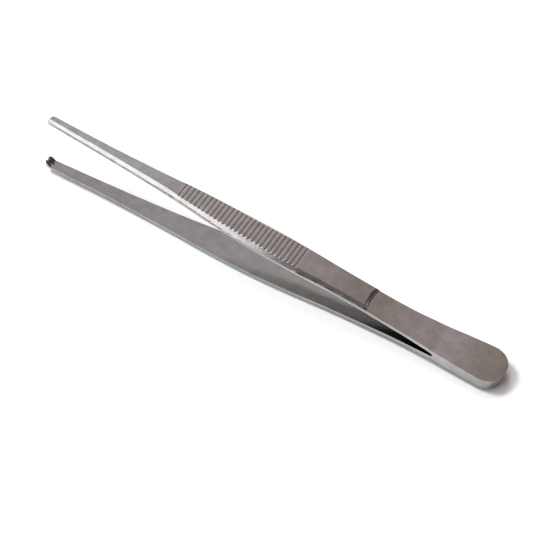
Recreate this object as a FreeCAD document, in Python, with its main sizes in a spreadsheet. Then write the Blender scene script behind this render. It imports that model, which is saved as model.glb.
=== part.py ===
import FreeCAD, Part
import math
import os

import Sketcher

# Toothed thumb forceps, 145 mm, resting on the outer face of the lower arm's grip.
# Each arm is drawn flat about the mid-plane between the arms: X runs from the tip (0) to the
# heel, Y across the arm, Z away from the mid-plane.  The lower arm is the upper arm's mirror
# image, apart from its teeth, and both are tilted together into the resting position.

os.makedirs("parts", exist_ok=True)
doc = FreeCAD.newDocument("thumb_forceps")

driving = (
    ("overall_length", 145.0, "tip to heel"),
    # outline seen from above
    ("tip_width", 3.0, "width at the tips"),
    ("tip_blunt", 0.15, "what the tip's rounding lacks of half the tip's width"),
    ("neck_lead", 42.0, "where the slim neck starts to widen, ahead of the widest place"),
    ("neck_width", 4.3, "width there"),
    ("neck_radius", 220.0, "hollow of the outline there"),
    ("grip_lead", 34.4, "widest place of the grip, ahead of the step"),
    ("grip_width", 10.7, "width between the flanks' corners there"),
    ("grip_radius", 179.0, "belly of the outline there"),
    ("waist_lead", 6.4, "narrowest place behind the grip, ahead of the step"),
    ("waist_width", 8.16, "width there"),
    ("waist_radius", 275.0, "hollow of the outline there"),
    ("flare_length", 29.0, "from where the heel starts to flare to its end"),
    ("shank_width", 8.7, "width there"),
    ("shank_radius", 150.0, "hollow of the outline there"),
    ("heel_width", 13.1, "width between the flanks' corners at the very end"),
    ("heel_blunt", 0.67, "what the heel's rounding lacks of half that width"),
    # side view: gaps are measured from arm to arm, thicknesses across one arm
    ("tip_gap", 17.2, "opening at the tips"),
    ("tip_thickness", 1.52, "blade thickness at the tip"),
    ("grip_length", 61.4, "from where the arm bends in front of the grip to the step"),
    ("bend_gap", 13.1, "opening there"),
    ("bend_thickness", 1.9, "blade thickness there"),
    ("bend_radius", 420.0, "radius of the bends along the arm"),
    ("pad_length", 19.1, "length of the heel pads, from where the two arms meet"),
    ("spring_length", 22.5, "from there forward to the step, where the grip's thickness ends"),
    ("bend_lead", 3.4, "where the arm bends into its spring, ahead of the step"),
    ("spring_gap", 5.48, "opening there"),
    ("grip_thickness", 2.03, "blade thickness there"),
    ("step_hollow", 35.0, "radius of the step seen from above"),
    ("step_radius", 0.9, "hollow at the foot of the step"),
    ("spring_thickness", 0.9, "thickness of the spring strip at the step"),
    ("crotch_gap", 1.35, "blunt width of the opening where the two arms meet"),
    ("crotch_radius", 0.45, "rounding of the crotch on each arm"),
    ("pad_lead", 0.8, "how far the outside of the heel pad starts ahead of there"),
    ("pad_thickness", 1.55, "thickness of one heel pad"),
    ("pad_radius", 60.0, "sweep from the spring into the heel pad"),
    # outer edges and grip ridges
    ("bevel", 0.85, "bevel along the outer face's edges"),
    ("ridge_lag", 2.1, "first groove of the grip, behind the bend in front of it"),
    ("ridge_pitch", 1.36, "distance from groove to groove"),
    ("ridge_count", 29, "grooves on each arm"),
    ("groove_width", 0.72, "width of a groove at the outer face"),
    ("groove_depth", 0.30, "depth of a groove"),
    # one tooth on the upper arm drops between two teeth on the lower arm
    ("tooth_height", 1.2, "height of a tooth over the inner face"),
    ("tooth_crest", 0.55, "length of a tooth's crest along the arm"),
    ("tooth_length", 2.2, "length of a tooth along the arm at its foot"),
    ("tooth_foot", 1.0, "width of the single tooth at its foot"),
    ("tooth_top", 0.3, "width of the single tooth at its crest"),
    ("notch_clearance", 0.1, "room between the single tooth and the notch's flanks"),
    ("notch_depth", 0.45, "depth of the notch below the inner face"),
    ("notch_length", 2.7, "length of the notch along the arm"),
)

sheet = doc.addObject("Spreadsheet::Sheet", "sizes")
size = {}
for row, (name, number, note) in enumerate(driving, 1):
    sheet.set("A%d" % row, name)
    sheet.set("B%d" % row, str(number))
    sheet.setAlias("B%d" % row, name)
    sheet.set("C%d" % row, note)
doc.recompute()
for name, number, note in driving:
    size[name] = float(sheet.get(name))


class Reach:
    """A length as a sum of sheet values, kept as a number and as the expression that binds it."""

    def __init__(self, number, text):
        self.number = number
        self.text = text

    def __add__(self, other):
        other = reach(other)
        return Reach(self.number + other.number, "(%s + %s)" % (self.text, other.text))

    def __sub__(self, other):
        other = reach(other)
        return Reach(self.number - other.number, "(%s - %s)" % (self.text, other.text))

    def __mul__(self, other):
        other = reach(other)
        return Reach(self.number * other.number, "%s * %s" % (self.text, other.text))

    def __truediv__(self, other):
        other = reach(other)
        return Reach(self.number / other.number, "%s / %s" % (self.text, other.text))

    def __neg__(self):
        return Reach(-self.number, "(-1 * %s)" % self.text)


def reach(thing):
    if isinstance(thing, Reach):
        return thing
    if isinstance(thing, str):
        return Reach(size[thing], "sizes.%s" % thing)
    return Reach(float(thing), "%g" % thing)


def line_height(ends, place):
    """Height of the straight line through two (place, height) ends at another place."""
    (place_a, height_a), (place_b, height_b) = ends
    slope = (height_b - height_a) / (place_b - place_a)
    return height_a + slope * (reach(place) - place_a)


def origin_plane(body, role):
    return next(item for item in body.Origin.OriginFeatures if item.Role == role)


def new_sketch(body, name, role):
    sketch = body.newObject("Sketcher::SketchObject", name)
    sketch.AttachmentSupport = [(origin_plane(body, role), "")]
    sketch.MapMode = "FlatFace"
    return sketch


def pin(sketch, geo, pos, corner):
    """Ties a point of the sketch to the sheet, measured from the sketch's origin."""
    for kind, axis, spot in (("DistanceX", -2, corner[0]), ("DistanceY", -1, corner[1])):
        if abs(spot.number) < 1e-9:
            sketch.addConstraint(Sketcher.Constraint("PointOnObject", geo, pos, axis))
            continue
        if spot.number > 0:
            rule = Sketcher.Constraint(kind, -1, 1, geo, pos, spot.number)
            text = spot.text
        else:
            rule = Sketcher.Constraint(kind, geo, pos, -1, 1, -spot.number)
            text = (-spot).text
        index = sketch.addConstraint(rule)
        sketch.setExpression("Constraints[%d]" % index, text)


def draw_loop(sketch, corners):
    """Draws a closed outline through corners (x, y, radius or None); rounded corners get a
    tangent arc, and the corner itself stays as a construction point that carries the sizes."""
    spots = [(reach(x), reach(y), reach(r) if r else None) for x, y, r in corners]
    points = [FreeCAD.Vector(x.number, y.number, 0) for x, y, r in spots]
    count = len(points)
    starts, ends, arcs = list(points), list(points), [None] * count
    for i, (x, y, radius) in enumerate(spots):
        if radius is None:
            continue
        before = (points[i - 1] - points[i]).normalize()
        after = (points[(i + 1) % count] - points[i]).normalize()
        half_angle = before.getAngle(after) / 2
        ends[i] = points[i] + before * (radius.number / math.tan(half_angle))
        starts[i] = points[i] + after * (radius.number / math.tan(half_angle))
        centre = points[i] + (before + after).normalize() * (radius.number / math.sin(half_angle))
        middle = centre + (points[i] - centre).normalize() * radius.number
        arcs[i] = Part.Arc(ends[i], middle, starts[i])
    lines = [
        sketch.addGeometry(Part.LineSegment(starts[i], ends[(i + 1) % count]), False)
        for i in range(count)
    ]
    for i, (x, y, radius) in enumerate(spots):
        incoming, outgoing = lines[i - 1], lines[i]
        if radius is None:
            sketch.addConstraint(Sketcher.Constraint("Coincident", incoming, 2, outgoing, 1))
            pin(sketch, outgoing, 1, (x, y))
            continue
        arc = sketch.addGeometry(arcs[i], False)
        near_start = sketch.getPoint(arc, 1).distanceToPoint(ends[i]) < 1e-6
        first, last = (1, 2) if near_start else (2, 1)
        point = sketch.addGeometry(Part.Point(points[i]), True)
        pin(sketch, point, 1, (x, y))
        for rule in (
            Sketcher.Constraint("PointOnObject", point, 1, incoming),
            Sketcher.Constraint("PointOnObject", point, 1, outgoing),
            Sketcher.Constraint("Tangent", incoming, 2, arc, first),
            Sketcher.Constraint("Tangent", arc, last, outgoing, 1),
        ):
            sketch.addConstraint(rule)
        index = sketch.addConstraint(Sketcher.Constraint("Radius", arc, radius.number))
        sketch.setExpression("Constraints[%d]" % index, radius.text)


def frame_corners(left, low, right, high):
    return [(left, low, None), (right, low, None), (right, high, None), (left, high, None)]


half = 0.5
length = reach("overall_length")
crotch_place = length - "pad_length"
step_place = crotch_place - "spring_length"
spring_place = step_place - "bend_lead"
bend_place = step_place - "grip_length"
grip_place = step_place - "grip_lead"
neck_place = grip_place - "neck_lead"
ridge_start = bend_place + "ridge_lag"
tip_radius = reach("tip_width") * half - "tip_blunt"
heel_radius = reach("heel_width") * half - "heel_blunt"
beyond = reach(6)
room = reach("tip_gap") * half + reach("tip_thickness") + beyond

inner_tip = (reach(0), reach("tip_gap") * half)
inner_bend = (bend_place, reach("bend_gap") * half)
inner_spring = (spring_place, reach("spring_gap") * half)
inner_crotch = (crotch_place, reach("crotch_gap") * half)
outer_tip = (reach(0), inner_tip[1] + "tip_thickness")
outer_bend = (inner_bend[0], inner_bend[1] + "bend_thickness")
outer_grip = (inner_spring[0], inner_spring[1] + "grip_thickness")

grip_slope = (outer_bend[1] - outer_grip[1]) / (outer_grip[0] - outer_bend[0])


def set_length(feature, value, symmetric=False, reverse=False):
    feature.setExpression("Length", reach(value).text)
    if symmetric:
        feature.SideType = "Symmetric"
    feature.Reversed = reverse


def build_arm(label, sign):
    """One arm: grip blade, spring, heel pad, then outline, bevels, step and ridges."""
    body = doc.addObject("PartDesign::Body", label)
    body.Label = label

    def up(spot):
        return spot if sign > 0 else -spot

    def flat(place, height, radius=None):
        return (place, up(reach(height)), radius)

    # a block over the grip and the tip, whose rear end is hollowed like the step
    wide = reach("heel_width")
    block = new_sketch(body, "block_outline", "XY_Plane")
    front, rear = -beyond, step_place
    sag = size["step_hollow"] - math.sqrt(size["step_hollow"] ** 2 - wide.number ** 2)
    low = FreeCAD.Vector(rear.number + sag, -wide.number, 0)
    high = FreeCAD.Vector(rear.number + sag, wide.number, 0)
    middle = FreeCAD.Vector(rear.number, 0, 0)
    corner_low = FreeCAD.Vector(front.number, -wide.number, 0)
    corner_high = FreeCAD.Vector(front.number, wide.number, 0)
    block.addGeometry(Part.LineSegment(low, corner_low), False)
    block.addGeometry(Part.LineSegment(corner_low, corner_high), False)
    block.addGeometry(Part.LineSegment(corner_high, high), False)
    hollow = block.addGeometry(Part.Arc(high, middle, low), False)
    upper_end = 1 if block.getPoint(hollow, 1).y > 0 else 2
    for rule in (
        Sketcher.Constraint("Coincident", 0, 2, 1, 1),
        Sketcher.Constraint("Coincident", 1, 2, 2, 1),
        Sketcher.Constraint("Coincident", 2, 2, hollow, upper_end),
        Sketcher.Constraint("Coincident", hollow, 3 - upper_end, 0, 1),
        Sketcher.Constraint("Horizontal", 0),
        Sketcher.Constraint("Horizontal", 2),
        Sketcher.Constraint("PointOnObject", hollow, 3, -1),
    ):
        block.addConstraint(rule)
    pin(block, 1, 1, (front, -wide))
    pin(block, 1, 2, (front, wide))
    index = block.addConstraint(Sketcher.Constraint("Radius", hollow, size["step_hollow"]))
    block.setExpression("Constraints[%d]" % index, "sizes.step_hollow")
    centre = step_place + "step_hollow"
    index = block.addConstraint(Sketcher.Constraint("DistanceX", -1, 1, hollow, 3, centre.number))
    block.setExpression("Constraints[%d]" % index, centre.text)
    pad = body.newObject("PartDesign::Pad", "block")
    pad.Profile = block
    set_length(pad, room, reverse=sign < 0)
    doc.recompute()

    # the blade's side view: two straight runs with a gentle bend between them
    side = new_sketch(body, "blade_side", "XZ_Plane")
    draw_loop(side, [
        (-(beyond + beyond), up(-beyond), None),
        (length, up(-beyond), None),
        (length, up(room + beyond), None),
        (-(beyond + beyond), up(room + beyond), None),
    ])
    ahead, behind = -(beyond * 1.5), step_place + beyond
    draw_loop(side, [
        flat(ahead, line_height((inner_tip, inner_bend), ahead)),
        flat(*inner_bend, "bend_radius"),
        flat(*inner_spring, "bend_radius"),
        flat(behind, line_height((inner_spring, inner_crotch), behind)),
        flat(behind, line_height((outer_bend, outer_grip), behind)),
        flat(*outer_bend, "bend_radius"),
        flat(ahead, line_height((outer_tip, outer_bend), ahead)),
    ])
    cut = body.newObject("PartDesign::Pocket", "blade_cut")
    cut.Profile = side
    cut.Type = 0
    set_length(cut, wide * 3, symmetric=True)
    doc.recompute()

    # the spring strip and the heel pad, which meets the other arm's pad at the mid-plane
    strip_foot = (step_place,
                  line_height((inner_spring, inner_crotch), step_place) + "spring_thickness")
    pad_front = (crotch_place - "pad_lead", reach("pad_thickness"))
    strip = (strip_foot, pad_front)
    spring = new_sketch(body, "spring_side", "XZ_Plane")
    draw_loop(spring, [
        flat(*inner_spring),
        flat(*inner_crotch, "crotch_radius"),
        flat(crotch_place, 0),
        flat(length, 0),
        flat(length, "pad_thickness"),
        flat(*pad_front, "pad_radius"),
        flat(spring_place, line_height(strip, spring_place)),
    ])
    heel = body.newObject("PartDesign::Pad", "spring_and_heel")
    heel.Profile = spring
    set_length(heel, wide * 2, symmetric=True)
    doc.recompute()

    # hollow at the foot of the step
    names = []
    for number, edge in enumerate(body.Shape.Edges, 1):
        middle = edge.valueAt((edge.FirstParameter + edge.LastParameter) / 2)
        level = line_height(strip, middle.x).number
        if (abs(middle.x - step_place.number) < 0.4 and abs(middle.y) < 0.3
                and abs(sign * middle.z - level) < 0.05):
            names.append("Edge%d" % number)
    base = body.Tip
    hollow_foot = body.newObject("PartDesign::Fillet", "step_foot")
    hollow_foot.Base = (base, names)
    hollow_foot.setExpression("Radius", "sizes.step_radius")
    doc.recompute()

    crest = inner_tip[1] - "tooth_height"
    if label == "lower_arm":
        # the pair of teeth starts as one raised land, which the outline and the notch shape
        teeth = new_sketch(body, "teeth_side", "XZ_Plane")
        draw_loop(teeth, [
            flat(-beyond, inner_tip[1] + "bevel"),
            flat(-beyond, crest),
            flat("tooth_crest", crest),
            flat("tooth_length", line_height((inner_tip, inner_bend), "tooth_length")),
            flat("tooth_length", inner_tip[1] + reach("tip_thickness") * half),
        ])
        land = body.newObject("PartDesign::Pad", "teeth")
        land.Profile = teeth
        set_length(land, "tip_width", symmetric=True)
    else:
        # a single tooth, wedge-shaped across the tip
        teeth = new_sketch(body, "tooth_section", "YZ_Plane")
        draw_loop(teeth, [
            (-(reach("tooth_foot") * half), up(inner_tip[1]), None),
            (-(reach("tooth_top") * half), up(crest), None),
            (reach("tooth_top") * half, up(crest), None),
            (reach("tooth_foot") * half, up(inner_tip[1]), None),
            (reach("tooth_foot") * half, up(inner_tip[1] + reach("tip_thickness") * half), None),
            (-(reach("tooth_foot") * half), up(inner_tip[1] + reach("tip_thickness") * half), None),
        ])
        land = body.newObject("PartDesign::Pad", "tooth")
        land.Profile = teeth
        set_length(land, "tooth_length")
        doc.recompute()
        slope = new_sketch(body, "tooth_slope", "XZ_Plane")
        draw_loop(slope, [
            flat("tooth_crest", crest),
            flat("tooth_length", line_height((inner_tip, inner_bend), "tooth_length")),
            flat(reach("tooth_length") + "tooth_length",
                 line_height((inner_tip, inner_bend), reach("tooth_length") + "tooth_length")),
            flat(reach("tooth_length") + "tooth_length", crest - "tooth_height"),
            flat("tooth_crest", crest - "tooth_height"),
        ])
        trim = body.newObject("PartDesign::Pocket", "tooth_back")
        trim.Profile = slope
        set_length(trim, "tip_width", symmetric=True)
    doc.recompute()

    # the outline seen from above trims everything to its plan shape
    plan = new_sketch(body, "outline", "XY_Plane")
    half_widths = [
        (reach(0), reach("tip_width") * half, tip_radius),
        (neck_place, reach("neck_width") * half, "neck_radius"),
        (grip_place, reach("grip_width") * half, "grip_radius"),
        (step_place - "waist_lead", reach("waist_width") * half, "waist_radius"),
        (length - "flare_length", reach("shank_width") * half, "shank_radius"),
        (length, reach("heel_width") * half, heel_radius),
    ]
    draw_loop(plan, frame_corners(-(beyond * 3), -(wide * 2), length + beyond, wide * 2))
    draw_loop(plan, [(x, -y, r) for x, y, r in half_widths]
              + [(x, y, r) for x, y, r in reversed(half_widths)])
    trimmed = body.newObject("PartDesign::Pocket", "outline_cut")
    trimmed.Profile = plan
    set_length(trimmed, room * 2, symmetric=True)
    doc.recompute()

    if label == "lower_arm":
        notch = new_sketch(body, "notch_section", "YZ_Plane")
        # the notch takes the single tooth with a little room on each flank
        lean = (reach("tooth_foot") - "tooth_top") * half / "tooth_height"
        bottom = inner_tip[1] + "notch_depth"
        mouth = crest - "notch_depth"
        at_crest = reach("tooth_foot") * half + "notch_clearance"
        at_foot = reach("tooth_top") * half + "notch_clearance"
        draw_loop(notch, [
            (-at_foot, up(bottom), None),
            (at_foot, up(bottom), None),
            (at_crest + lean * "notch_depth", up(mouth), None),
            (-(at_crest + lean * "notch_depth"), up(mouth), None),
        ])
        gap = body.newObject("PartDesign::Pocket", "notch")
        gap.Profile = notch
        volume = body.Shape.Volume
        set_length(gap, "notch_length", reverse=True)
        doc.recompute()
        if body.Shape.Volume > volume - 0.1:
            gap.Reversed = False
            doc.recompute()

    # bevels along the outer face of the blade and round the tip
    def on_outer_face(point):
        ends = (outer_tip, outer_bend) if point.x < bend_place.number else (outer_bend, outer_grip)
        return abs(sign * point.z - line_height(ends, point.x).number) < 0.06

    names = []
    for number, edge in enumerate(body.Shape.Edges, 1):
        middle = edge.valueAt((edge.FirstParameter + edge.LastParameter) / 2)
        places = [vertex.Point for vertex in edge.Vertexes] + [middle]
        across = abs(middle.y) < 0.3 and middle.x > 1
        if all(on_outer_face(place) for place in places) and not across:
            names.append("Edge%d" % number)
    base = body.Tip
    chamfer = body.newObject("PartDesign::Chamfer", "bevels")
    chamfer.Base = (base, names)
    chamfer.setExpression("Size", "sizes.bevel")
    doc.recompute()

    # grip grooves: one V across the outer face, repeated along it
    groove = new_sketch(body, "groove_section", "XZ_Plane")
    start = line_height((outer_bend, outer_grip), ridge_start)
    groove.setExpression("AttachmentOffset.Base.x", ridge_start.text)
    groove.setExpression("AttachmentOffset.Base.y", up(start).text)
    groove.setExpression("AttachmentOffset.Rotation.Angle", "atan(%s)" % up(-grip_slope).text)
    wing = reach("groove_width") * half
    draw_loop(groove, [
        (reach(0), up(-reach("groove_depth")), None),
        (wing, reach(0), None),
        (wing, up(reach("groove_depth")), None),
        (-wing, up(reach("groove_depth")), None),
        (-wing, reach(0), None),
    ])
    first = body.newObject("PartDesign::Pocket", "groove")
    first.Profile = groove
    set_length(first, wide * 2, symmetric=True)
    doc.recompute()
    rows = body.newObject("PartDesign::LinearPattern", "ridges")
    rows.Originals = [first]
    rows.Direction = (groove, ["H_Axis"])
    rows.setExpression("Occurrences", "sizes.ridge_count")
    rows.setExpression("Length", "sizes.ridge_pitch * (sizes.ridge_count - 1)")
    body.Tip = rows
    doc.recompute()
    return body


arms = [build_arm("upper_arm", 1), build_arm("lower_arm", -1)]

# the whole forceps leans until the lower arm's grip lies flat, and is centred over the origin
tilt = "atan(%s)" % grip_slope.text
heel_end = (length, reach("pad_thickness"))
lift = "%s * sin(%s) + %s * cos(%s)" % (outer_bend[0].text, tilt, outer_bend[1].text, tilt)
shift = "-0.5 * (%s * cos(%s) + (%s - (%s)) * sin(%s))" % (
    length.text, tilt, heel_end[1].text, (outer_tip[1] - "bevel").text, tilt)
for body in arms:
    body.Placement.Rotation = FreeCAD.Rotation(FreeCAD.Vector(0, 1, 0), 1)
    body.setExpression("Placement.Rotation.Angle", tilt)
    body.setExpression("Placement.Base.x", shift)
    body.setExpression("Placement.Base.z", lift)
doc.recompute()

for item in doc.Objects:
    if "Invalid" in item.State or "Error" in item.State:
        raise RuntimeError("%s could not be built: %s" % (item.Name, item.State))
for body in arms:
    if body.Shape.isNull() or not body.Shape.isValid() or len(body.Shape.Solids) != 1:
        raise RuntimeError("%s is not one sound solid" % body.Label)
    print(body.Label, "volume", round(body.Shape.Volume, 1), "box", body.Shape.BoundBox)
    body.Shape.exportStep("parts/%s.step" % body.Label)
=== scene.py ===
import math

import bmesh
import bpy
from mathutils import Matrix, Vector


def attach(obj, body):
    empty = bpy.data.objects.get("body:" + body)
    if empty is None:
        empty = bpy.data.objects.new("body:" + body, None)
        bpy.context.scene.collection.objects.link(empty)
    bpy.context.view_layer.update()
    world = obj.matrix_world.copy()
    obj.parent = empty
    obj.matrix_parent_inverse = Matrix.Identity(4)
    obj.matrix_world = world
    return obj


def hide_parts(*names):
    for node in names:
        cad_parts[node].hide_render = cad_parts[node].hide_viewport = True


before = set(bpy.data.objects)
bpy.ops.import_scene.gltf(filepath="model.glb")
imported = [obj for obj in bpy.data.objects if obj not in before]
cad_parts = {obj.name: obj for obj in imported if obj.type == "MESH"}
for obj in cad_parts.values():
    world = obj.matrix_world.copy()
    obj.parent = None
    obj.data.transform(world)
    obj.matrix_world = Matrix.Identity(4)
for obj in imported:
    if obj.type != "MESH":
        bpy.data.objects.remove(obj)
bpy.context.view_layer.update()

# Toothed thumb forceps lying open on the lower arm's grip. Each arm is modelled in millimetres
# over the plane midway between the two: X from the tip to the heel, Y across, Z away from the
# other arm. Then it is turned into its resting place; the lower arm is the same blade turned over.

# pairs are a place along the blade and the value there
bladeShape = {
    "length": 145.3,
    "halfWidth": ((0, 1.58), (8, 1.82), (20, 2.13), (35, 2.86), (47, 3.66), (52, 4.10), (62, 4.72),
                  (72, 5.03), (82, 4.86), (92, 4.41), (101, 4.26), (108, 4.28), (116, 4.46),
                  (124, 5.00), (132, 5.70), (139, 6.18), (145, 6.42)),
    "innerHeight": ((0, 8.66), (12, 7.99), (25, 7.34), (40, 6.62), (55, 5.76), (70, 4.76),
                    (85, 3.75), (100, 2.70), (110, 1.82), (118, 1.19), (122, 0.88), (125.9, 0.48)),
    "thickness": ((0, 1.52), (12, 1.57), (25, 1.68), (40, 1.86), (60, 1.88), (80, 1.95),
                  (95, 2.01), (104, 2.03)),
    "springThickness": ((104, 0.93), (118, 1.03), (123, 1.10), (126, 1.22)),
    "padThickness": ((124, 1.62), (134, 1.55), (145, 1.42)),
    "padSweep": 8,          # over this length the spring strip grows into the heel pad
    "bevelWidth": ((0, 0.80), (30, 0.90), (41.2, 1.04), (44.4, 0.80), (49, 0.92), (54.4, 1.08),
                   (59, 1.28), (64.6, 1.46), (68, 1.48), (74, 1.34), (79, 1.12), (86, 0.88),
                   (94, 0.78), (104, 0.76)),
    "bevelHeight": ((0, 0.94), (34, 1.16), (44.4, 1.12), (54, 1.18), (65, 1.14), (78, 1.04),
                    (92, 0.86), (104, 0.84)),
    "bevelLine": 0.64,      # share of the bevel below the line from which the grooves bite
    # the shoulder is the steep lower part of the bevel, and it leans inwards by this share
    "shoulderHeight": ((0, 0.54), (30, 0.54), (45, 0.52), (65, 0.50), (85, 0.62), (104, 0.62)),
    "shoulderLean": ((0, 0.45), (38, 0.46), (62, 0.51), (104, 0.51)),
    "endReach": 0.22,       # reach of the shoulder at the tip and at the step
    "endRun": 2.5,          # behind this place the bevel follows its widths
    # the heel bends up a little
    "rise": ((110, 0), (118, 0.15), (126, 0.42), (136, 0.64), (145, 0.80)),
    "tipRound": 1.38,
    "heelRound": 5.75,
    "crotch": 125.9,        # where the two arms meet
    "stepFoot": 104.3,      # foot of the step at the middle of the blade
    "stepRun": 1.0,
    "stepBow": 24.0,        # radius of the step seen from above
    "stepColumns": (-2.6, -1.3, 0, 1.3, 2.6),
    "stepAhead": 2.5, "stepBehind": 1.0,    # the columns reach so far to both sides of the foot
    "cornerMerge": 0.35,    # corners of the outer face closer than this become one
    "creaseRound": 0.05,    # soft lines between side wall, shoulder and bevel
    "edgeRound": 0.05,
    "padRound": 0.07,       # outer edges of the heel pads
    "crotchRound": 0.30,
    "flatAngle": 7.5,       # edges flatter than this stay as they are, in degrees
    "smoothAngle": 26,      # edges flatter than this are shaded smooth
}

# cuts across the blade: for each stretch how far its first and last cut lie from what bounds it,
# and their pitch
cutShape = {
    "tipAngles": (12, 24, 36, 48, 60, 75),                          # round the ends, in degrees
    "heelAngles": (90, 80, 70, 60, 50, 40, 31, 22, 14, 7),
    "tipEnd": 1.5,
    "tipFlat": 1.3, "heelFlat": 1.5,        # so near the ends no line crosses the flat faces
    "neck": (4.2, -2.0, 2.0),
    "firstRidge": (-0.9, -0.45),
    "land": (1.6, -2.4, 1.8),
    "stepBack": 0.9,
    "spring": (2.4, -1.2, 1.8),
    "slotEnd": (-0.5, 0, 0.02),
    "pad": (1.4, -1.0, 1.6),
}

# each groove is a shallow lip on both sides of a deeper floor
ridgeShape = {"first": 44.1, "pitch": 1.36, "count": 29, "halfWidth": 0.27, "depth": 0.115,
              "lip": 0.07, "lipDepth": 0.032, "floor": 0.05, "bite": 0.12}

toothShape = {
    "height": 1.2, "crest": 0.55, "length": 2.2,
    "singleFoot": 0.50, "singleTop": 0.16,      # half widths of the upper arm's tooth
    "notchFoot": 0.30, "notchTop": 0.60,        # half widths between the lower arm's teeth
    "notchDepth": 0.40, "notchLength": 2.7,
    "notchBelow": 0.4,                          # the cutter reaches so far past the teeth
    "notchTight": 0.06, "notchWide": 0.10,      # at their foot and top it stands off so far
    "runOut": 0.995,                            # share of the teeth's height lost behind them
}

placing = {"tilt": math.atan(0.0634), "shift": -72.12, "lift": 11.09}   # the resting place that the CAD model has
mm = 0.001
hair = 1e-3             # points closer than this count as one place
margin = 0.01           # beside a place along the blade
cutThreshold = 1e-5
joinedPoints = 1e-6     # metres; points closer than this are joined at the end
outward = 0.92          # least height of the normal of a face that looks straight outwards


def along(knots, x):
    # smooth curve through the knots
    if x <= knots[0][0]:
        return knots[0][1]
    if x >= knots[-1][0]:
        return knots[-1][1]
    slopes = [(b[1] - a[1]) / (b[0] - a[0]) for a, b in zip(knots, knots[1:])]
    middles = [(a + b) / 2 for a, b in zip(slopes, slopes[1:])]
    tangents = [slopes[0]] + middles + [slopes[-1]]
    i = max(k for k in range(len(knots) - 1) if knots[k][0] <= x)
    (x0, y0), (x1, y1) = knots[i], knots[i + 1]
    run = x1 - x0
    t = (x - x0) / run
    return ((2 * t ** 3 - 3 * t ** 2 + 1) * y0 + (t ** 3 - 2 * t ** 2 + t) * run * tangents[i]
            + (3 * t ** 2 - 2 * t ** 3) * y1 + (t ** 3 - t ** 2) * run * tangents[i + 1])


def straight(knots, x):
    # straight lines between the knots
    for (x0, y0), (x1, y1) in zip(knots, knots[1:]):
        if x <= x1:
            return y0 + (y1 - y0) * max(0, x - x0) / (x1 - x0)
    return knots[-1][1]


def halfWidthAt(x):
    s = bladeShape
    width = along(s["halfWidth"], x)
    for radius, depth in ((s["tipRound"], x), (s["heelRound"], s["length"] - x)):
        if depth < radius:
            width -= radius - math.sqrt(max(0, radius ** 2 - (radius - depth) ** 2))
    return width


def innerHeightAt(x):
    return 0 if x > bladeShape["crotch"] else along(bladeShape["innerHeight"], x)


def gripTopAt(x):
    return along(bladeShape["innerHeight"], x) + along(bladeShape["thickness"], x)


def shoulderReachAt(x):
    return along(bladeShape["shoulderLean"], x) * along(bladeShape["shoulderHeight"], x)


def bevelRiseAt(x):
    return along(bladeShape["bevelHeight"], x) - along(bladeShape["shoulderHeight"], x) / 2


def bevelSlopeAt(x):
    return (straight(bladeShape["bevelWidth"], x) - shoulderReachAt(x)) / bevelRiseAt(x)


def springTopAt(x):
    # behind the step the outer face sweeps from the spring strip into the heel pad
    s = bladeShape
    spring = along(s["innerHeight"], min(x, s["crotch"])) + along(s["springThickness"], x)
    share = min(1, max(0, (x - (s["crotch"] - s["padSweep"] / 2)) / s["padSweep"]))
    share = share * share * (3 - 2 * share)
    return spring + (along(s["padThickness"], x) - spring) * share


def selectOnly(thing):
    bpy.ops.object.select_all(action="DESELECT")
    bpy.context.view_layer.objects.active = thing
    thing.select_set(True)


def startEditing(thing):
    selectOnly(thing)
    bpy.ops.object.mode_set(mode="EDIT")
    bpy.ops.mesh.select_all(action="DESELECT")


def stopEditing():
    bpy.ops.object.mode_set(mode="OBJECT")


def pick(kind, test):
    # selects what the test names in the mesh being edited
    mesh = bpy.context.edit_object.data
    bpy.ops.mesh.select_mode(type=kind)
    bpy.ops.mesh.select_all(action="DESELECT")
    shape = bmesh.from_edit_mesh(mesh)
    items = {"VERT": shape.verts, "EDGE": shape.edges, "FACE": shape.faces}[kind]
    for item in items:
        if test(item):
            item.select_set(True)
    shape.select_flush_mode()
    bmesh.update_edit_mesh(mesh)


def move(x=0, y=0, z=0):
    bpy.ops.transform.translate(value=(x, y, z))


def widen(share, x=0):
    bpy.ops.transform.resize(value=(1, share, 1), center_override=(x, 0, 0))


def bisect(place, way):
    bpy.ops.mesh.bisect(plane_co=place, plane_no=way, threshold=cutThreshold)


def cutAcross(x):
    bpy.ops.mesh.select_mode(type="VERT")
    bpy.ops.mesh.select_all(action="SELECT")
    bisect((x, 0, 0), (1, 0, 0))


def spread(start, end, step):
    count = max(1, round((end - start) / step))
    return [start + (end - start) * k / count for k in range(count + 1)]


def roundPlaces(radius, angles):
    return [radius * (1 - math.cos(math.radians(angle))) for angle in angles]


def cutPlaces():
    s, r, c = bladeShape, ridgeShape, cutShape
    places = roundPlaces(s["tipRound"], c["tipAngles"])
    places += [c["tipEnd"], toothShape["length"], toothShape["notchLength"]]

    def addStretch(start, end, name):
        before, after, pitch = c[name]
        places.extend(spread(start + before, end + after, pitch))

    addStretch(0, r["first"], "neck")
    places += [r["first"] + offset for offset in c["firstRidge"]]
    places += [r["first"] + (k + 0.5) * r["pitch"] for k in range(r["count"])]
    addStretch(places[-1], s["stepFoot"], "land")
    places += [s["stepFoot"] - s["stepRun"], s["stepFoot"], s["stepFoot"] + c["stepBack"]]
    addStretch(s["stepFoot"], s["crotch"], "spring")
    places += [s["crotch"] + offset for offset in c["slotEnd"]]
    addStretch(s["crotch"], s["length"] - s["heelRound"], "pad")
    places += [s["length"] - depth for depth in roundPlaces(s["heelRound"], c["heelAngles"])]
    return places


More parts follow.
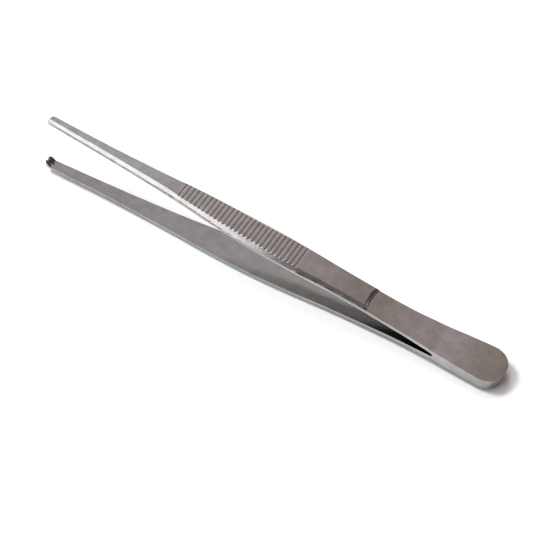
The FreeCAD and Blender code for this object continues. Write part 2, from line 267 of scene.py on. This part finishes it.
def makeBlank(name):
    # a bar, cut across and given its width and heights at each cut
    s = bladeShape
    bpy.ops.object.select_all(action="DESELECT")
    bpy.ops.mesh.primitive_cube_add(size=1, location=(s["length"] / 2, 0, 0.5))
    blade = bpy.context.active_object
    blade.name = blade.data.name = name
    blade.scale = (s["length"], 2, 1)
    bpy.ops.object.transform_apply(location=True, rotation=True, scale=True)
    startEditing(blade)
    places = cutPlaces()
    for x in places:
        cutAcross(x)
    for x in [0] + places + [s["length"]]:
        pick("VERT", lambda v: abs(v.co.x - x) < hair)
        widen(halfWidthAt(x), x)
        top = springTopAt(x)
        if x < s["stepFoot"] - margin:
            top = gripTopAt(x) - bevelRiseAt(x) - along(s["shoulderHeight"], x)
        pick("VERT", lambda v: abs(v.co.x - x) < hair and abs(v.co.z - 1) < hair)
        move(z=top - 1)
        pick("VERT", lambda v: abs(v.co.x - x) < hair and abs(v.co.z) < hair)
        move(z=innerHeightAt(x))

    def crossesRoundEnd(edge):
        # the rounded ends need no lines across their flat faces
        first, second = (v.co for v in edge.verts)
        if abs(first.x - second.x) > hair or abs(first.z - second.z) > hair:
            return False
        return (hair < first.x < cutShape["tipFlat"]
                or s["length"] - cutShape["heelFlat"] < first.x < s["length"] - hair)

    pick("EDGE", crossesRoundEnd)
    bpy.ops.mesh.dissolve_edges(use_verts=False)
    return blade


def raiseRing(thickness, reachAt, riseAt):
    # insets the outer face of the grip, then gives the new rim its width and height at each place
    s = bladeShape
    pick("FACE", lambda f: f.normal.z > outward and f.calc_center_median().x < s["stepFoot"])
    bpy.ops.mesh.inset(thickness=thickness, depth=0, use_even_offset=True)
    shape = bmesh.from_edit_mesh(bpy.context.edit_object.data)
    rim = sorted((v.co.x, v.co.y, v.co.z) for v in shape.verts if v.select and v.co.y > 0)
    for x, y, z in rim:
        pick("VERT", lambda v: abs(v.co.x - x) < hair and abs(abs(v.co.y) - y) < hair
             and abs(v.co.z - z) < hair)
        if s["endRun"] < x < s["stepFoot"] - margin:
            widen((halfWidthAt(x) - reachAt(x)) / y, x)
        move(z=riseAt(x))


def bevelOuterFace():
    # a steep shoulder and then the wide bevel run round the flat outer face
    s = bladeShape
    raiseRing(s["endReach"], shoulderReachAt, lambda x: along(s["shoulderHeight"], x))
    endWidth = s["bevelWidth"][0][1] - s["endReach"]
    for share, before in ((s["bevelLine"], 0), (1, s["bevelLine"])):
        raiseRing((share - before) * endWidth,
                  lambda x: shoulderReachAt(x) + share * bevelSlopeAt(x) * bevelRiseAt(x),
                  lambda x: (share - before) * bevelRiseAt(x))
    # the two last corners of the face become one: the top of the step
    stepTop = s["stepFoot"] - s["stepRun"]
    pick("VERT", lambda v: v.co.z > gripTopAt(v.co.x) - 0.05 and v.co.x > stepTop - 0.1)
    bpy.ops.mesh.remove_doubles(threshold=s["cornerMerge"])


def bowStep():
    # columns across the step let its top and foot follow an arc
    s = bladeShape
    foot = s["stepFoot"]
    for y in s["stepColumns"]:
        pick("FACE", lambda f: f.normal.z > 0.3 and abs(f.normal.y) < 0.3
             and foot - s["stepAhead"] < f.calc_center_median().x < foot + s["stepBehind"])
        bisect((0, y, 0), (0, 1, 0))

    def isOuter(v):
        return v.co.z > innerHeightAt(v.co.x) + 0.5

    shape = bmesh.from_edit_mesh(bpy.context.edit_object.data)
    columns = sorted({round(abs(v.co.y), 3) for v in shape.verts
                      if foot - 1.2 < v.co.x < foot + s["stepBehind"] and isOuter(v)})
    for y in columns:
        pick("VERT", lambda v: foot - s["stepRun"] - margin < v.co.x < foot + 0.95
             and abs(abs(v.co.y) - y) < hair and isOuter(v))
        move(x=y * y / (2 * s["stepBow"]))


def edgeSize(edge):
    # how far this kind of edge is rounded
    s = bladeShape
    first, second = (v.co for v in edge.verts)
    middle = (first + second) / 2
    x = middle.x
    above = middle.z - innerHeightAt(min(x, s["crotch"]))
    rim = 0.1               # so near the inner and outer faces an edge counts as theirs
    padHalf = 0.7           # edges of the pad above this height are outer ones
    if x < s["stepFoot"] and rim < above < gripTopAt(x) - innerHeightAt(x) - rim:
        return s["creaseRound"]
    if abs(x - s["crotch"]) < 1 and middle.z < padHalf:
        meets = abs(x - s["crotch"]) < margin and abs(above) < rim
        return s["crotchRound"] if meets and abs(first.x - second.x) < 2 * margin else 0
    if x > s["crotch"] + 1:
        return s["padRound"] if middle.z > padHalf else 0
    return s["edgeRound"]


def softenEdges(blade):
    # bevel weights by the kind of edge, then one bevel over all of them
    widest = bladeShape["crotchRound"]
    shape = bmesh.from_edit_mesh(blade.data)
    weight = shape.edges.layers.float.new("bevel_weight_edge")
    for edge in shape.edges:
        if edge.calc_face_angle(0) >= math.radians(bladeShape["flatAngle"]):
            edge[weight] = edgeSize(edge) / widest
    bmesh.update_edit_mesh(blade.data)
    stopEditing()
    soft = blade.modifiers.new("softEdges", "BEVEL")
    soft.width = widest
    soft.segments = 2
    soft.limit_method = "WEIGHT"
    soft.use_clamp_overlap = False
    bpy.ops.object.modifier_apply(modifier=soft.name)


def cutRidges():
    r = ridgeShape
    lipEnd = r["halfWidth"] - r["lip"]
    grooves = [r["first"] + k * r["pitch"] for k in range(r["count"])]
    for x in grooves:
        for offset in (r["halfWidth"], lipEnd, r["floor"]):
            cutAcross(x - offset)
            cutAcross(x + offset)
    for x in grooves:
        for offset, depth in ((lipEnd, r["lipDepth"]), (r["floor"], r["depth"])):
            for side in (-1, 1):
                pick("VERT", lambda v: abs(abs(v.co.x - x) - offset) < hair
                     and v.co.y * side > 0 and v.co.z > gripTopAt(v.co.x) - r["bite"])
                move(y=side * depth * bevelSlopeAt(x), z=-depth)


def addTeeth(kind):
    # teeth grow from patches of the inner face at the tip
    t = toothShape
    single = kind == "upper"
    foot, top = (t["singleFoot"], t["singleTop"]) if single else (t["notchFoot"], t["notchTop"])

    def isInner(face, end):
        return face.normal.z < -0.7 and face.calc_center_median().x < end

    def carriesTooth(face, side):
        y = face.calc_center_median().y
        return isInner(face, t["length"]) and (abs(y) < foot if single else y * side > foot)

    def isCrest(v):
        return v.co.x < t["length"] + 0.1 and v.co.z < innerHeightAt(0) - 0.6 * t["height"]

    across, lengthwise = (1, 0, 0), (0, 1, 0)
    for place, way in (((0, -foot, 0), lengthwise), ((0, foot, 0), lengthwise),
                       ((t["crest"], 0, 0), across)):
        pick("FACE", lambda f: isInner(f, t["notchLength"]))
        bisect(place, way)
    for side in (0,) if single else (-1, 1):
        pick("FACE", lambda f: carriesTooth(f, side))
        bpy.ops.mesh.extrude_region_move(TRANSFORM_OT_translate={"value": (0, 0, -t["height"])})
    for side in (-1, 1):
        pick("VERT", lambda v: isCrest(v) and abs(v.co.y - side * foot) < hair)
        move(y=side * (top - foot))
    # behind the crest the teeth run out to the inner face, and stop a hair above it
    shape = bmesh.from_edit_mesh(bpy.context.edit_object.data)
    for x in sorted({round(v.co.x, 4) for v in shape.verts if isCrest(v)}):
        if x > t["crest"]:
            pick("VERT", lambda v: isCrest(v) and abs(v.co.x - x) < hair)
            share = min(1, (x - t["crest"]) / (t["length"] - t["crest"]))
            move(z=t["height"] * share * t["runOut"])


def cutNotch(blade):
    # the gap between the lower arm's teeth also goes a little way into the blade
    t = toothShape
    bpy.ops.object.select_all(action="DESELECT")
    bpy.ops.mesh.primitive_cube_add(size=1)
    cutter = bpy.context.active_object
    base = innerHeightAt(0)
    low, high = base - t["height"] - t["notchBelow"], base + t["notchDepth"]
    cutter.scale = (t["notchLength"] + 1, 2, high - low)
    cutter.location = (t["notchLength"] / 2 - 0.5, 0, (low + high) / 2)
    bpy.ops.object.transform_apply(location=True, rotation=True, scale=True)
    startEditing(cutter)
    for top, width in ((True, t["notchFoot"] - t["notchTight"]),
                       (False, t["notchTop"] + t["notchWide"])):
        pick("VERT", lambda v: (v.co.z > base) == top)
        widen(width)
    stopEditing()
    selectOnly(blade)
    cut = blade.modifiers.new("notch", "BOOLEAN")
    cut.operation = "DIFFERENCE"
    cut.object = cutter
    cut.solver = "EXACT"
    bpy.ops.object.modifier_apply(modifier=cut.name)
    bpy.data.objects.remove(cutter)


def liftHeel(blade, way):
    knots = bladeShape["rise"]
    start = knots[0][0]
    startEditing(blade)
    shape = bmesh.from_edit_mesh(blade.data)
    for x in sorted({round(v.co.x, 2) for v in shape.verts if v.co.x > start}):
        pick("VERT", lambda v: v.co.x > start and round(v.co.x, 2) == x)
        move(z=way * along(knots, x))
    stopEditing()


def placeArm(blade, kind):
    # into its resting place, in metres
    upper = kind == "upper"
    liftHeel(blade, 1 if upper else -1)
    blade.scale = (mm, mm, mm if upper else -mm)
    bpy.ops.object.transform_apply(scale=True)
    blade.rotation_euler = (0, placing["tilt"], 0)
    blade.location = (placing["shift"] * mm, 0, placing["lift"] * mm)
    bpy.ops.object.transform_apply(location=True, rotation=True)


def cleanUp(blade):
    startEditing(blade)
    bpy.ops.mesh.select_all(action="SELECT")
    bpy.ops.mesh.remove_doubles(threshold=joinedPoints)
    bpy.ops.mesh.select_all(action="SELECT")
    bpy.ops.mesh.normals_make_consistent(inside=False)
    stopEditing()
    bpy.ops.object.shade_smooth_by_angle(angle=math.radians(bladeShape["smoothAngle"]))
    faces = blade.modifiers.new("faceNormals", "WEIGHTED_NORMAL")
    faces.weight = 100
    faces.keep_sharp = True
    bpy.ops.object.modifier_apply(modifier=faces.name)


def makeArm(kind):
    blade = makeBlank(kind + "Blade")
    bevelOuterFace()
    bowStep()
    softenEdges(blade)
    startEditing(blade)
    cutRidges()
    addTeeth(kind)
    stopEditing()
    if kind == "lower":
        cutNotch(blade)
    placeArm(blade, kind)
    cleanUp(blade)
    print("arm ready:", kind, len(blade.data.polygons), "faces")
    return blade


class Shade:
    # a socket's value in shader maths, so that materials read as expressions
    def __init__(self, tree, socket):
        self.tree = tree
        self.socket = socket

    def maths(self, operation, other):
        return addNode(self.tree, "ShaderNodeMath", {"operation": operation}, {0: self, 1: other})

    def __add__(self, other):
        return self.maths("ADD", other)

    def __sub__(self, other):
        return self.maths("SUBTRACT", other)

    def __mul__(self, other):
        return self.maths("MULTIPLY", other)

    __radd__ = __add__
    __rmul__ = __mul__


def addNode(tree, kind, settings, inputs, output=0):
    node = tree.nodes.new(kind)
    for name, value in settings.items():
        setattr(node, name, value)
    for name, value in inputs.items():
        if isinstance(value, Shade):
            tree.links.new(value.socket, node.inputs[name])
        else:
            node.inputs[name].default_value = value
    return Shade(tree, node.outputs[output]) if len(node.outputs) else None


def opaque(colour):
    return tuple(colour) + (1,)


def addRamp(tree, stops, value):
    node = tree.nodes.new("ShaderNodeValToRGB")
    elements = node.color_ramp.elements
    for k, (place, colour) in enumerate(stops):
        stop = elements[k] if k < len(elements) else elements.new(place)
        stop.position = place
        stop.color = opaque(colour)
    tree.links.new(value.socket, node.inputs[0])
    return Shade(tree, node.outputs[0])


def addMix(tree, share, first, second, blend="MIX"):
    return addNode(tree, "ShaderNodeMix", {"data_type": "RGBA", "blend_type": blend},
                   {0: share, 6: first, 7: second}, 2)


def addRange(tree, value, start, end, smooth=False, falling=False):
    # 0 up to the start and 1 from the end, or the other way round
    kind = "SMOOTHSTEP" if smooth else "LINEAR"
    below, past = (1.0, 0.0) if falling else (0.0, 1.0)
    return addNode(tree, "ShaderNodeMapRange", {"interpolation_type": kind},
                   {0: value, 1: start, 2: end, 3: below, 4: past})


def splitAxes(tree, vector):
    return [addNode(tree, "ShaderNodeSeparateXYZ", {}, {0: vector}, k) for k in range(3)]


steelLook = {
    "grainScale": (260, 4200, 4200),        # brushed lengthwise
    "cloudScale": 340.0,
    "detail": 3.0,
    "cloudShare": 0.55, "grainShare": 0.45,
    "mottleRange": (0.36, 0.64),
    "darkTone": (0.375, 0.368, 0.366),
    "paleTone": (0.475, 0.473, 0.472),
    "roughness": 0.06, "grainRoughness": 0.05, "cloudRoughness": 0.04,
    "grainBump": 0.09,
    "bumpDistance": 0.0002,
    "innerShadeRange": (0.0001, 0.0005),        # metres from the mid-plane
    "shadingStart": -72,                       # the painted shading's places start here and run so far
    "shadingRun": 146,
    # share of the steel's tone kept at each place along the blade, painted light: on the outer
    # faces painted reflection, darker and warmer towards the heel; on the faces turned towards the
    # other arm painted shade
    "outerReflection": ((0, (1.0, 1.0, 1.0)), (25, (1.0, 1.0, 1.0)), (40, (0.95, 0.93, 0.93)),
                (73, (0.98, 0.96, 0.95)), (90, (0.93, 0.92, 0.92)), (99, (0.86, 0.83, 0.84)),
                (111, (0.94, 0.95, 0.93)), (123, (1.0, 1.0, 1.0)), (136, (0.84, 0.82, 0.77)),
                (142, (0.80, 0.75, 0.70)), (146, (0.71, 0.67, 0.63))),
    # painted shade on the faces turned towards the other arm, deepest in the slot near the crotch
    "inside": ((0, (0.95, 0.93, 0.93)), (64, (0.93, 0.91, 0.90)), (81, (0.80, 0.78, 0.76)),
               (102, (0.73, 0.70, 0.69)), (115, (0.50, 0.47, 0.47)), (128, (0.40, 0.38, 0.38))),
}


# a ramp of painted light along the blade, from one of the tables above
def addPaintedShading(tree, name, x):
    look = steelLook
    start, end = look["shadingStart"] * mm, (look["shadingStart"] + look["shadingRun"]) * mm
    stops = [(place / look["shadingRun"], colour) for place, colour in look[name]]
    return addRamp(tree, stops, addRange(tree, x, start, end))


def makeSteel():
    look = steelLook
    steel = bpy.data.materials.new("satinSteel")
    steel.use_nodes = True
    tree = steel.node_tree
    tree.nodes.clear()
    place = addNode(tree, "ShaderNodeTexCoord", {}, {}, 3)
    grainPlace = addNode(tree, "ShaderNodeMapping", {},
                         {"Vector": place, "Scale": look["grainScale"]})
    grain = addNode(tree, "ShaderNodeTexNoise", {},
                    {"Vector": grainPlace, "Scale": 1.0, "Detail": look["detail"]})
    cloud = addNode(tree, "ShaderNodeTexNoise", {},
                    {"Vector": place, "Scale": look["cloudScale"], "Detail": look["detail"]})
    blend = look["cloudShare"] * cloud + look["grainShare"] * grain
    mottle = addRange(tree, blend, *look["mottleRange"])
    tone = addMix(tree, mottle, opaque(look["darkTone"]), opaque(look["paleTone"]))
    # painted shade: faces turned towards the other arm are darker, most of all deep in the slot,
    # where the two arms shade and mirror each other
    facing = splitAxes(tree, addNode(tree, "ShaderNodeNewGeometry", {}, {}, 1))[2]
    x, y, z = splitAxes(tree, place)
    fromMiddle = (math.sin(placing["tilt"]) * (x - placing["shift"] * mm)
                  + (z - placing["lift"] * mm))
    inside = addRange(tree, -1 * facing * fromMiddle, *look["innerShadeRange"])
    paintedShading = addMix(tree, inside, addPaintedShading(tree, "outerReflection", x), addPaintedShading(tree, "inside", x))
    tone = addMix(tree, 1.0, tone, paintedShading, "MULTIPLY")
    bump = addNode(tree, "ShaderNodeBump", {}, {"Strength": look["grainBump"],
                                                "Distance": look["bumpDistance"],
                                                "Height": grain})
    rough = (look["roughness"] + look["grainRoughness"] * grain
             + look["cloudRoughness"] * cloud)
    shader = addNode(tree, "ShaderNodeBsdfPrincipled", {},
                     {"Base Color": tone, "Metallic": 1.0, "Roughness": rough, "Normal": bump})
    addNode(tree, "ShaderNodeOutputMaterial", {}, {"Surface": shader})
    return steel


for thing in ("Cube", "Light", "Camera"):
    if thing in bpy.data.objects:
        bpy.data.objects.remove(bpy.data.objects[thing])

steel = makeSteel()
print("steel ready")
for kind in ("upper", "lower"):
    arm = makeArm(kind)
    arm.data.materials.clear()
    arm.data.materials.append(steel)
    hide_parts(kind + "_arm")
    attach(arm, "root")

floorLook = {"size": 2.4, "sink": 0.0001, "colour": (0.73, 0.74, 0.75), "roughness": 0.85}


def makeFloor():
    bpy.ops.object.select_all(action="DESELECT")
    bpy.ops.mesh.primitive_plane_add(size=floorLook["size"], location=(0, 0, -floorLook["sink"]))
    floor = bpy.context.active_object
    floor.name = "paleFloor"
    paint = bpy.data.materials.new("paleFloorPaint")
    paint.use_nodes = True
    shader = paint.node_tree.nodes["Principled BSDF"]
    shader.inputs["Base Color"].default_value = opaque(floorLook["colour"])
    shader.inputs["Roughness"].default_value = floorLook["roughness"]
    floor.data.materials.append(paint)


makeFloor()
print("floor ready")

# angles in degrees, the rest in metres and millimetres of lens
cameraPlace = {"azimuth": 22.622, "elevation": 49.381, "roll": 7.671, "distance": 0.478614,
               "lens": 112.114, "sensor": 36, "target": (0.00304, 0.0, -0.000316)}

softboxDistance = 1.2
softboxes = {
    "keySoftbox": {"azimuth": 280, "elevation": 50, "size": 0.3, "power": 13,
                   "colour": (0.97, 0.985, 1.0)},
    "farSoftbox": {"azimuth": 226, "elevation": 54, "size": 0.35, "power": 5,
                   "colour": (1.0, 0.985, 0.95)},
    "topSoftbox": {"azimuth": 0, "elevation": 89, "size": 1.2, "power": 0.6,
                   "colour": (1.0, 0.985, 0.96)},
}

# The room that the steel mirrors. The bands run over how far right a direction points, from -1
# to 1, and the near panel over how far it slants to the left.
room = {
    "ceiling": ((-0.60, (0.24, 0.24, 0.24)), (-0.37, (0.31, 0.292, 0.292)),
                (-0.29, (0.28, 0.265, 0.265)), (-0.225, (0.385, 0.382, 0.39)),
                (-0.165, (0.35, 0.33, 0.33)), (-0.09, (0.33, 0.30, 0.295)),
                (-0.04, (0.275, 0.243, 0.236)), (0.03, (0.25, 0.21, 0.198)),
                (0.10, (0.24, 0.19, 0.173)), (0.40, (0.15, 0.12, 0.10)),
                (0.60, (0.05, 0.042, 0.036))),
    "nearPanel": ((-0.6, (0.085, 0.065, 0.052)), (-0.2, (0.06, 0.055, 0.055)),
                  (0.04, (0.08, 0.075, 0.078)), (0.10, (0.25, 0.235, 0.25)),
                  (0.16, (0.62, 0.59, 0.64)), (0.22, (1.0, 0.97, 1.0)),
                  (0.28, (1.0, 0.99, 1.0)), (1.0, (1.0, 1.0, 1.0))),
    "farPanel": ((-1.0, (0.60, 0.58, 0.57)), (-0.4, (0.56, 0.54, 0.53)), (0.0, (0.12, 0.10, 0.09)),
                 (0.5, (0.07, 0.056, 0.048)), (1.0, (0.05, 0.042, 0.036))),
    "horizon": ((-1.0, (0.30, 0.30, 0.30)), (-0.41, (0.20, 0.20, 0.205)),
                (-0.37, (0.15, 0.15, 0.155)), (-0.33, (0.02, 0.02, 0.02)),
                (0.0, (0.008, 0.007, 0.007)), (0.30, (0.05, 0.04, 0.033)),
                (0.46, (0.06, 0.05, 0.042)), (0.62, (0.26, 0.25, 0.245)),
                (1.0, (0.30, 0.29, 0.28))),
    "nearCeiling": (0.02, 0.018, 0.018),
    "nearCeilingShare": 0.62,
    "strength": 2.2,
    # where one side of the room passes into the next
    "nearEdge": (-0.1, 0.1),
    "leftEdge": (-0.15, -0.05),
    "ceilingEdge": (0.38, 0.50),
    "panelEdge": (0.05, 0.09),
    "leftPanelRise": 0.75,      # near on the left the panel reaches so much higher
    "slantSoftness": 0.05,      # keeps the slant finite straight to the side
}


def towards(azimuth, elevation):
    # the direction of these angles, measured from the front
    a, e = math.radians(azimuth), math.radians(elevation)
    return Vector((math.sin(a) * math.cos(e), -math.cos(a) * math.cos(e), math.sin(e)))


def addObject(name, data):
    thing = bpy.data.objects.new(name, data)
    bpy.context.scene.collection.objects.link(thing)
    return thing


def addCamera():
    p = cameraPlace
    back = towards(p["azimuth"], p["elevation"])
    a, r = math.radians(p["azimuth"]), math.radians(p["roll"])
    level = Vector((math.cos(a), math.sin(a), 0))
    rise = back.cross(level)
    right = level * math.cos(r) + rise * math.sin(r)
    up = rise * math.cos(r) - level * math.sin(r)
    camera = addObject("camera", bpy.data.cameras.new("camera"))
    camera.data.lens = p["lens"]
    camera.data.sensor_width = p["sensor"]
    camera.data.clip_start = 0.01
    turn = Matrix((right, up, back)).transposed().to_4x4()
    camera.matrix_world = Matrix.Translation(Vector(p["target"]) + back * p["distance"]) @ turn
    bpy.context.scene.camera = camera


def addSoftbox(name, box):
    # lights the floor only, because the steel shows nothing but the room and the floor
    light = bpy.data.lights.new(name, "AREA")
    light.size = box["size"]
    light.energy = box["power"]
    light.color = box["colour"]
    lamp = addObject(name, light)
    lamp.location = towards(box["azimuth"], box["elevation"]) * softboxDistance
    lamp.rotation_euler = lamp.location.to_track_quat("Z", "Y").to_euler()
    lamp.visible_glossy = False


def roomRamp(tree, name, value):
    stops = [((place + 1) / 2, colour) for place, colour in room[name]]
    return addRamp(tree, stops, 0.5 + 0.5 * value)


def makeRoom():
    # a soft grey room: ceiling, panels below it and a dark strip along the horizon
    world = bpy.data.worlds.new("studio")
    bpy.context.scene.world = world
    world.use_nodes = True
    tree = world.node_tree
    tree.nodes.clear()
    x, y, z = splitAxes(tree, addNode(tree, "ShaderNodeTexCoord", {}, {}, 0))
    depth = addNode(tree, "ShaderNodeMath", {"operation": "ABSOLUTE"}, {0: y})
    slant = (-1 * x).maths("DIVIDE", depth + room["slantSoftness"])
    near = addRange(tree, y, *room["nearEdge"], smooth=True, falling=True)
    left = addRange(tree, x, *room["leftEdge"], smooth=True, falling=True)
    upper = addRange(tree, z - room["leftPanelRise"] * near * left, *room["ceilingEdge"],
                     smooth=True)
    aboveStrip = addRange(tree, z, *room["panelEdge"], smooth=True)
    panels = addMix(tree, near, roomRamp(tree, "farPanel", x), roomRamp(tree, "nearPanel", slant))
    low = addMix(tree, aboveStrip, roomRamp(tree, "horizon", x), panels)
    high = addMix(tree, room["nearCeilingShare"] * near, roomRamp(tree, "ceiling", x),
                  opaque(room["nearCeiling"]))
    whole = addMix(tree, upper, low, high)
    glow = addNode(tree, "ShaderNodeBackground", {},
                   {"Color": whole, "Strength": room["strength"]})
    addNode(tree, "ShaderNodeOutputWorld", {}, {"Surface": glow})


addCamera()
bpy.context.scene.view_settings.view_transform = "Standard"
makeRoom()
for name, box in softboxes.items():
    addSoftbox(name, box)
print("camera and light ready")
